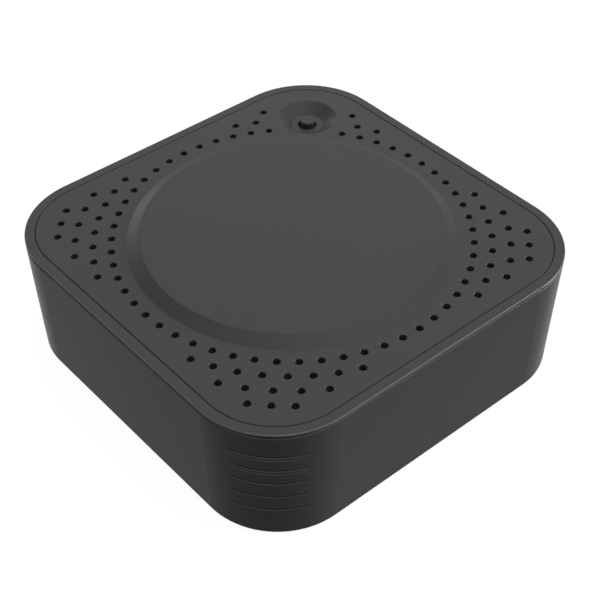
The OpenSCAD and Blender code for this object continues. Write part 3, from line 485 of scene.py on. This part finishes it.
def ring_curve(tree, radius, height, steps):
    """Closed circle whose points meet those of a turned profile with as many steps."""
    ring = node(tree, "GeometryNodeCurvePrimitiveCircle", {"Resolution": steps * 4.0, "Radius": radius})
    return moved(tree, ring, z=height)


def on_points(tree, points, part):
    placed = node(tree, "GeometryNodeInstanceOnPoints", {"Points": points, "Instance": part})
    return node(tree, "GeometryNodeRealizeInstances", {"Geometry": placed})


def finished(tree, given, geometry, put):
    """Last steps of every piece's tree: real geometry, in metres, with its material."""
    whole = node(tree, "GeometryNodeRealizeInstances", {"Geometry": geometry})
    whole = merged(tree, whole, PIECE_WELD)
    whole = node(tree, "GeometryNodeTransform", {"Geometry": whole, "Scale": (MM, MM, MM)})
    whole = node(tree, "GeometryNodeSetMaterial", {"Geometry": whole, "Material": given["Material"]})
    tree.links.new(whole, put.inputs[0])


def built_piece(name, tree, sizes, finish, body, cad_name, material=None):
    """Runs a tree with these sizes and puts the plain mesh in the place of a CAD node."""
    holder = bpy.data.objects.new(name + "_nodes", bpy.data.meshes.new(name + "_nodes"))
    scene.collection.objects.link(holder)
    modifier = holder.modifiers.new("shape", "NODES")
    modifier.node_group = tree
    identifiers = {item.name: item.identifier for item in tree.interface.items_tree if item.in_out == "INPUT"}
    for label, value in sizes.items():
        modifier[identifiers[label]] = value
    modifier[identifiers["Material"]] = material or finishes[finish]
    evaluated = holder.evaluated_get(bpy.context.evaluated_depsgraph_get())
    mesh = bpy.data.meshes.new_from_object(evaluated)
    mesh.name = name
    holder.modifiers.remove(modifier)
    bpy.data.objects.remove(holder)
    work = bmesh.new()
    work.from_mesh(mesh)
    bmesh.ops.recalc_face_normals(work, faces=work.faces)
    work.to_mesh(mesh)
    work.free()
    mesh.polygons.foreach_set("use_smooth", [True] * len(mesh.polygons))
    mesh.set_sharp_from_angle(angle=math.radians(SHARP_DEG))
    piece = bpy.data.objects.new(name, mesh)
    scene.collection.objects.link(piece)
    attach(piece, body)
    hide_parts(cad_name)


# Perforated top plate with its raised disc and the dish

DISC_FILLET_REACH = 0.26  # How far a round of the disc's slope runs along the flat, in radii
DISH_FILLET_REACH = 0.28  # The same for the dish
DISH_STRIP_SHARE = 0.8  # Width of the holding strip round the dish against the one at the rim
ANCHOR = 1.0  # How far the stiffener and the pins go into the plate
BORE_ROUND = 0.08  # Round at the mouth of the button's bore
BIG_ROUND_STEPS = 6  # Segments of a round of the disc or the dish
PIN_STEPS = 6  # Segments of a quarter of a pin
CORNER_ROWS = ((8, 6.59), (5, 6.62), (3, 5.17))  # Holes in a corner and their angle step, outside the full ring

plate_sizes = {
    "Corner Radius": 19.4, "Corner Middle": 28.6, "Corner Steps": 36, "Inset": 2.45, "Edge Round": 0.15,
    "Top Height": 31.4, "Thickness": 2.0, "Holding Strip": 0.3, "Turn Steps": 44,
    "Disc Radius": 36.7, "Disc Height": 1.6, "Slope Width": 2.9, "Disc Edge Round": 0.9, "Disc Foot Round": 0.6,
    "Disc Underside Shift": 0.515, "Dish Distance": 32.032, "Dish Radius": 7.2, "Dish Floor Radius": 3.9,
    "Dish Steps": 24, "Dish Depth": 2.0, "Dish Round": 0.6, "Dish Wall": 1.3, "Button Bore": 2.25,
    "Guide Bore": 3.65, "Guide Wall": 1.2, "Guide Length": 4.0, "Hole Diameter": 1.7, "Hole Bevel": 0.1,
    "Hole Steps": 6, "Ring Count": 56, "First Ring": 40.0, "Ring Pitch": 4.0, "Clear Radius": 9.2,
    "Stiffener Inset": 0.6, "Stiffener Width": 0.9, "Stiffener Drop": 1.5,
    "Pin Place": 43.9, "Pin Radius": 0.7, "Pin Length": 1.7,
}


def make_top_plate():
    tree, g, put = geometry_tree("perforated_plate", plate_sizes, with_material=True)
    top, low = g["Top Height"], g["Top Height"] - g["Thickness"]
    strip, turn = g["Holding Strip"], g["Turn Steps"]
    rim_in = -(g["Inset"] + g["Edge Round"] + strip)
    rim = profile(tree, [(rim_in, top), (-g["Inset"], top, g["Edge Round"]), (-g["Inset"], low)])
    rim = swept(tree, rim, g["Corner Radius"], g["Corner Middle"], g["Corner Steps"])

    disc_top = top + g["Disc Height"]
    slope_in = g["Disc Radius"] - g["Slope Width"]
    disc_out = g["Disc Radius"] + g["Disc Foot Round"] * DISC_FILLET_REACH + strip
    disc_in = slope_in - g["Disc Edge Round"] * DISC_FILLET_REACH - strip
    disc = swept(tree, profile(tree, [
        (disc_out, top), (g["Disc Radius"], top, g["Disc Foot Round"]),
        (slope_in, disc_top, g["Disc Edge Round"]), (disc_in, disc_top), (0.0, disc_top)],
        BIG_ROUND_STEPS), steps=turn)
    under_out = g["Disc Radius"] - g["Disc Underside Shift"]
    hollow = swept(tree, profile(tree, [
        (under_out, low), (slope_in - g["Disc Underside Shift"], low + g["Disc Height"]),
        (0.0, low + g["Disc Height"])]), steps=turn)

    dish_floor = top - g["Dish Depth"]
    dish_under = dish_floor - g["Dish Wall"]
    guide_low = dish_under - g["Guide Length"]
    guide_out = g["Guide Bore"] + g["Guide Wall"]
    dish_out = g["Dish Radius"] + g["Dish Round"] * DISH_FILLET_REACH + strip * DISH_STRIP_SHARE
    cup_out = g["Dish Radius"] + g["Dish Wall"]
    dish = swept(tree, profile(tree, [
        (dish_out, top), (g["Dish Radius"], top, g["Dish Round"]),
        (g["Dish Floor Radius"], dish_floor, g["Dish Round"]), (g["Button Bore"], dish_floor, BORE_ROUND),
        (g["Button Bore"], dish_under), (g["Guide Bore"], dish_under), (g["Guide Bore"], guide_low),
        (guide_out, guide_low), (guide_out, dish_under), (g["Dish Floor Radius"] + g["Dish Wall"], dish_under),
        (cup_out, low)], BIG_ROUND_STEPS), steps=g["Dish Steps"])
    at_dish = (-g["Dish Distance"], g["Dish Distance"])
    dish = moved(tree, dish, *at_dish)

    rows = [use_group(tree, vent_row_tree, {
        "Count": g["Ring Count"], "Corners": 1, "Middle": 0.0, "Angle Step": 360.0 / g["Ring Count"],
        "Row Radius": g["First Ring"]})[0]]
    for number, (count, angle) in enumerate(CORNER_ROWS, 1):
        rows.append(use_group(tree, vent_row_tree, {
            "Count": count, "Corners": 4, "Middle": (count - 1) / 2, "Angle Step": angle,
            "Row Radius": g["First Ring"] + g["Ring Pitch"] * float(number)})[0])
    dots = joined(tree, rows)
    away = node(tree, "ShaderNodeVectorMath",
                {0: node(tree, "GeometryNodeInputPosition"), 1: point(tree, *at_dish, 0.0)}, "Value",
                operation="DISTANCE")
    too_near = node(tree, "FunctionNodeCompare", {0: away, 1: g["Clear Radius"]}, operation="LESS_THAN")
    dots = node(tree, "GeometryNodeDeleteGeometry", {"Geometry": dots, "Selection": too_near})
    hole_r = g["Hole Diameter"] / 2.0
    bevel_r = hole_r + g["Hole Bevel"]
    hole = swept(tree, profile(tree, [(bevel_r, top), (hole_r, top - g["Hole Bevel"]), (hole_r, low)]),
                 steps=g["Hole Steps"])
    holes = on_points(tree, dots, hole)

    def filled(corner_r, height, disc_r, dish_r, hole_radius):
        """Flat face at a height between the outline, the disc, the dish and the holes."""
        edge = use_group(tree, outline_tree, {"Radius": corner_r, "Corner Middle": g["Corner Middle"],
                                              "Height": height, "Corner Steps": g["Corner Steps"]})[0]
        rings = [edge, ring_curve(tree, disc_r, height, turn),
                 moved(tree, ring_curve(tree, dish_r, height, g["Dish Steps"]), *at_dish),
                 on_points(tree, dots, ring_curve(tree, hole_radius, height, g["Hole Steps"]))]
        flat = node(tree, "GeometryNodeFillCurve", {"Curve": joined(tree, rings)}, mode="TRIANGLES")
        return moved(tree, flat, z=height)

    face = filled(g["Corner Radius"] + rim_in, top, disc_out, dish_out, bevel_r)
    back = filled(g["Corner Radius"] - g["Inset"], low, under_out, cup_out, hole_r)

    anchor = low + ANCHOR
    stiff_in = g["Disc Radius"] + g["Stiffener Inset"]
    stiff_out = stiff_in + g["Stiffener Width"]
    stiff_low = low - g["Stiffener Drop"]
    stiffener = swept(tree, profile(tree, [
        (stiff_in, anchor), (stiff_in, stiff_low), (stiff_out, stiff_low), (stiff_out, anchor),
        (stiff_in, anchor)]), steps=turn)
    pin_low = low - g["Pin Length"]
    pin = swept(tree, profile(tree, [
        (0.0, pin_low), (g["Pin Radius"], pin_low), (g["Pin Radius"], anchor), (0.0, anchor)]),
        steps=PIN_STEPS)
    pins = [moved(tree, pin, g["Pin Place"] * x, g["Pin Place"] * y)
            for x, y in ((1.0, 0.0), (0.0, 1.0), (-1.0, 0.0), (0.0, -1.0))]
    finished(tree, g, joined(tree, [face, rim, disc, dish, holes, back, hollow, stiffener] + pins), put)
    return tree


built_piece("perforated_top_plate", make_top_plate(), plate_sizes, "casing", "case", "top_plate",
            material=plate_finish)


# Feet and screws: turned shapes that stand in the four corners

SMALL_ROUND_STEPS = 4  # Segments of a round of a foot or a screw
FOOT_STEPS = 16  # Segments of a quarter turn
SCREW_STEPS = 8
FOOT_ROUND = 0.25
TREAD_ROUND = 0.05
HEAD_ROUND = 0.06  # Round of a screw head's sharp edge


def make_turned_set(name, corners, sizes, steps, head_cut=None):
    """Four turned parts at a distance from both middle lines, with a cross cut in the head if it has one."""
    tree, g, put = geometry_tree(name, sizes, with_material=True)
    part = swept(tree, profile(tree, corners(g), SMALL_ROUND_STEPS), steps=steps)
    if head_cut:
        cut_z, cut_l, cut_w, cut_h = head_cut(g)
        cutter = tree.nodes.new("GeometryNodeMeshBoolean")
        cutter.operation = "DIFFERENCE"
        cutter.solver = "EXACT"
        tree.links.new(part, cutter.inputs["Mesh 1"])
        for length, width in ((cut_l, cut_w), (cut_w, cut_l)):
            bar = node(tree, "GeometryNodeMeshCube", {"Size": point(tree, length, width, cut_h)})
            tree.links.new(moved(tree, bar, z=cut_z), cutter.inputs["Mesh 2"])
        part = cutter.outputs[0]
    turn = index_term(tree) * 90.0 + 45.0
    reach = g["Place"] * math.sqrt(2)
    dots = node(tree, "GeometryNodePoints",
                {"Count": 4, "Position": point(tree, turn.cos() * reach, turn.sin() * reach, 0.0)})
    finished(tree, g, on_points(tree, dots, part), put)
    return tree


foot_sizes = {"Place": 29.5, "Radius": 5.0, "Height": 1.8, "Bevel": 0.5, "Tread Rings": 0.22}


def foot_corners(g):
    """Half of a foot: a sunken middle, a tread ring, a sunken ring and the tread with its bevel."""
    radius, sunken = g["Radius"], g["Tread Rings"]
    return [(0.0, sunken), (radius * 0.18, sunken), (radius * 0.22, 0.0, TREAD_ROUND),
            (radius * 0.38, 0.0, TREAD_ROUND), (radius * 0.42, sunken), (radius * 0.52, sunken),
            (radius * 0.56, 0.0, TREAD_ROUND), (radius - g["Bevel"], 0.0, FOOT_ROUND),
            (radius, g["Bevel"], FOOT_ROUND), (radius, g["Height"]), (0.0, g["Height"])]


foot_tree = make_turned_set("rubber_foot_set", foot_corners, foot_sizes, FOOT_STEPS)
built_piece("ringed_feet", foot_tree, foot_sizes, "rubber", "case", "rubber_feet")


def threaded(g, head, start, tip, way, first_ridge, ridges):
    """Half of a screw: its head, a thread that starts at a height and goes up or down, and its tip."""
    root_r = g["Shank Radius"] - g["Thread Depth"]
    corners = list(head)
    for ridge in range(ridges):
        root = start + g["Thread Pitch"] * (way * (ridge + first_ridge))
        corners += [(root_r, root), (g["Shank Radius"], root + g["Thread Pitch"] * (way * 0.5))]
    return corners + [(root_r, tip), (0.0, tip)]


def base_screw_corners(g):
    low, head_top = g["Face"], g["Face"] + g["Head Height"]
    head = [(0.0, low), (g["Head Radius"], low, HEAD_ROUND), (g["Shank Radius"], head_top)]
    return threaded(g, head, head_top, low + g["Length"], way=1.0, first_ridge=0.25, ridges=13)


def board_screw_corners(g):
    seat, top = g["Face"], g["Face"] + g["Head Height"]
    head = [(0.0, top), (g["Head Radius"], top, g["Head Round"]), (g["Head Radius"], seat, HEAD_ROUND),
            (g["Shank Radius"], seat)]
    return threaded(g, head, seat, seat - g["Length"], way=-1.0, first_ridge=0.75, ridges=12)


base_screw_sizes = {"Place": 37.227, "Face": 1.0, "Head Radius": 2.4, "Head Height": 1.2, "Shank Radius": 1.25,
                    "Length": 8.0, "Thread Pitch": 0.45, "Thread Depth": 0.18, "Drive Length": 2.98,
                    "Drive Width": 0.7, "Drive Depth": 0.6}
base_screw_tree = make_turned_set(
    "base_screw_set", base_screw_corners, base_screw_sizes, SCREW_STEPS,
    lambda g: (g["Face"], g["Drive Length"], g["Drive Width"], g["Drive Depth"] * 2.0))
built_piece("threaded_base_screws", base_screw_tree, base_screw_sizes, "screw_steel", "case", "base_screws")

board_screw_sizes = {"Place": 23.987, "Face": 9.6, "Head Radius": 2.5, "Head Height": 1.6, "Head Round": 0.8,
                     "Shank Radius": 1.25, "Length": 6.0, "Thread Pitch": 0.45, "Thread Depth": 0.18,
                     "Drive Length": 3.1, "Drive Width": 0.7, "Drive Depth": 0.6}
board_screw_tree = make_turned_set(
    "board_screw_set", board_screw_corners, board_screw_sizes, SCREW_STEPS,
    lambda g: (g["Face"] + g["Head Height"], g["Drive Length"], g["Drive Width"], g["Drive Depth"] * 2.0))
built_piece("threaded_board_screws", board_screw_tree, board_screw_sizes, "screw_steel", "case", "board_screws")

# Infrared lamps

DOME_SHARE = 0.999  # The dome's round stays just under the lamp's radius, so that the fillet can be made
DOME_STEPS = 10  # Segments of the dome from its edge to its top
LAMP_STEPS = 12  # Segments of a quarter turn
FLANGE_ROUND = 0.12
lamp_sizes = {"Lamps": 8, "Foot Radius": 36.86, "Axis Height": 12.8, "Lamp Radius": 2.5, "Lamp Length": 8.6,
              "Rim Width": 0.4, "Rim Height": 1.0, "Upright Height": 11.1}


def make_lamp_set():
    """Domed lamps that look outward round the box, and one that looks up in the middle."""
    tree, g, put = geometry_tree("lamp_set", lamp_sizes, with_material=True)
    lamp_r, rim_r = g["Lamp Radius"], g["Lamp Radius"] + g["Rim Width"]
    lamp = swept(tree, profile(tree, [
        (0.0, 0.0), (rim_r, 0.0, FLANGE_ROUND), (rim_r, g["Rim Height"], FLANGE_ROUND),
        (lamp_r, g["Rim Height"]), (lamp_r, g["Lamp Length"], lamp_r * DOME_SHARE),
        (0.0, g["Lamp Length"])], DOME_STEPS), steps=LAMP_STEPS)
    turn = (index_term(tree) + 0.5) * (360.0 / g["Lamps"])
    dots = node(tree, "GeometryNodePoints", {"Count": g["Lamps"], "Position": point(
        tree, turn.cos() * g["Foot Radius"], turn.sin() * g["Foot Radius"], g["Axis Height"])})
    outward = point(tree, 0.0, math.radians(90), turn.radians())
    ring = node(tree, "GeometryNodeInstanceOnPoints", {"Points": dots, "Instance": lamp, "Rotation": outward})
    finished(tree, g, joined(tree, [ring, moved(tree, lamp, z=g["Upright Height"])]), put)
    return tree


built_piece("domed_lamps", make_lamp_set(), lamp_sizes, "lamp_resin", "case", "emitter_lamps")

# Floor and surround: white where they are seen directly, and a plain grey for the light that they bounce

FLOOR_HALF = 3
FLOOR_Z = -0.00005  # Just under the feet, so that the two faces don't share a plane
FLOOR_BOUNCE = 0.3
FLOOR_SHADE = 0.08  # The part of the white that the object's shadow takes away
FLOOR_GLOW = 0.93


def grey(level):
    return (level, level, level, 1)


def seen_directly(tree):
    """1 for camera, glossy and transmission rays, which see the white surround."""
    rays = tree.nodes.new("ShaderNodeLightPath").outputs
    seen = Term(tree, rays["Is Camera Ray"]).at_least(rays["Is Glossy Ray"])
    return seen.at_least(rays["Is Transmission Ray"])


def make_floor_material():
    """The pale floor, which is clear from below."""
    material = bpy.data.materials.new("pale_floor")
    material.use_nodes = True
    tree = material.node_tree
    tree.nodes.clear()
    bounce = node(tree, "ShaderNodeBsdfDiffuse", {"Color": grey(FLOOR_BOUNCE)})
    shade = node(tree, "ShaderNodeBsdfDiffuse", {"Color": grey(FLOOR_SHADE)})
    glow = node(tree, "ShaderNodeEmission", {"Color": grey(1), "Strength": FLOOR_GLOW})
    white = node(tree, "ShaderNodeAddShader", {0: shade, 1: glow})
    above = node(tree, "ShaderNodeMixShader", {0: seen_directly(tree), 1: bounce, 2: white})
    from_below = node(tree, "ShaderNodeNewGeometry", output="Backfacing")
    clear = node(tree, "ShaderNodeBsdfTransparent")
    either = node(tree, "ShaderNodeMixShader", {0: from_below, 1: above, 2: clear})
    tree.links.new(either, tree.nodes.new("ShaderNodeOutputMaterial").inputs["Surface"])
    return material


floor_mesh = bpy.data.meshes.new("floor")
floor_corners = [(x * FLOOR_HALF, y * FLOOR_HALF, FLOOR_Z) for x, y in ((-1, -1), (1, -1), (1, 1), (-1, 1))]
floor_mesh.from_pydata(floor_corners, [], [(0, 1, 2, 3)])
floor_mesh.materials.append(make_floor_material())
floor = bpy.data.objects.new("floor", floor_mesh)
scene.collection.objects.link(floor)

world = bpy.data.worlds.new("white_surround")
scene.world = world
world.use_nodes = True
world.node_tree.nodes.clear()
surround = node(world.node_tree, "ShaderNodeBackground",
                {"Color": grey(1), "Strength": seen_directly(world.node_tree)})
world.node_tree.links.new(surround, world.node_tree.nodes.new("ShaderNodeOutputWorld").inputs["Surface"])

# Soft lamps far off: azimuth from +X towards +Y, elevation, and strength against a plain level of 1

LAMP_SPREAD_DEG = 34
studio_lamps = [
    ("right_panel", 55, 55, 0.34), ("front_panel", 20, 55, 0.12), ("rear_panel", 120, 55, 0.14),
    ("top_front", 0, 77, 0.48), ("front_high", 250, 70, 0.28), ("front_right", 310, 30, 0.04),
    ("left_strip", 180, 8, 0.16), ("slope_glint", 163, 4, 0.06), ("right_strip", 58, 6, 1.62),
    ("corner_fill", 300, 8, 0.052), ("rear_gloss", 140, 41, 0.19), ("edge_strip", 232, 29, 0.11),
]
for lamp_name, azimuth, elevation, strength in studio_lamps:
    lamp = bpy.data.objects.new(lamp_name, bpy.data.lights.new(lamp_name, "SUN"))
    scene.collection.objects.link(lamp)
    lamp.data.angle = math.radians(LAMP_SPREAD_DEG)
    lamp.data.energy = math.pi * strength
    a, e = math.radians(azimuth), math.radians(elevation)
    towards = Vector((math.cos(a) * math.cos(e), math.sin(a) * math.cos(e), math.sin(e)))
    lamp.rotation_euler = towards.to_track_quat("Z", "Y").to_euler()
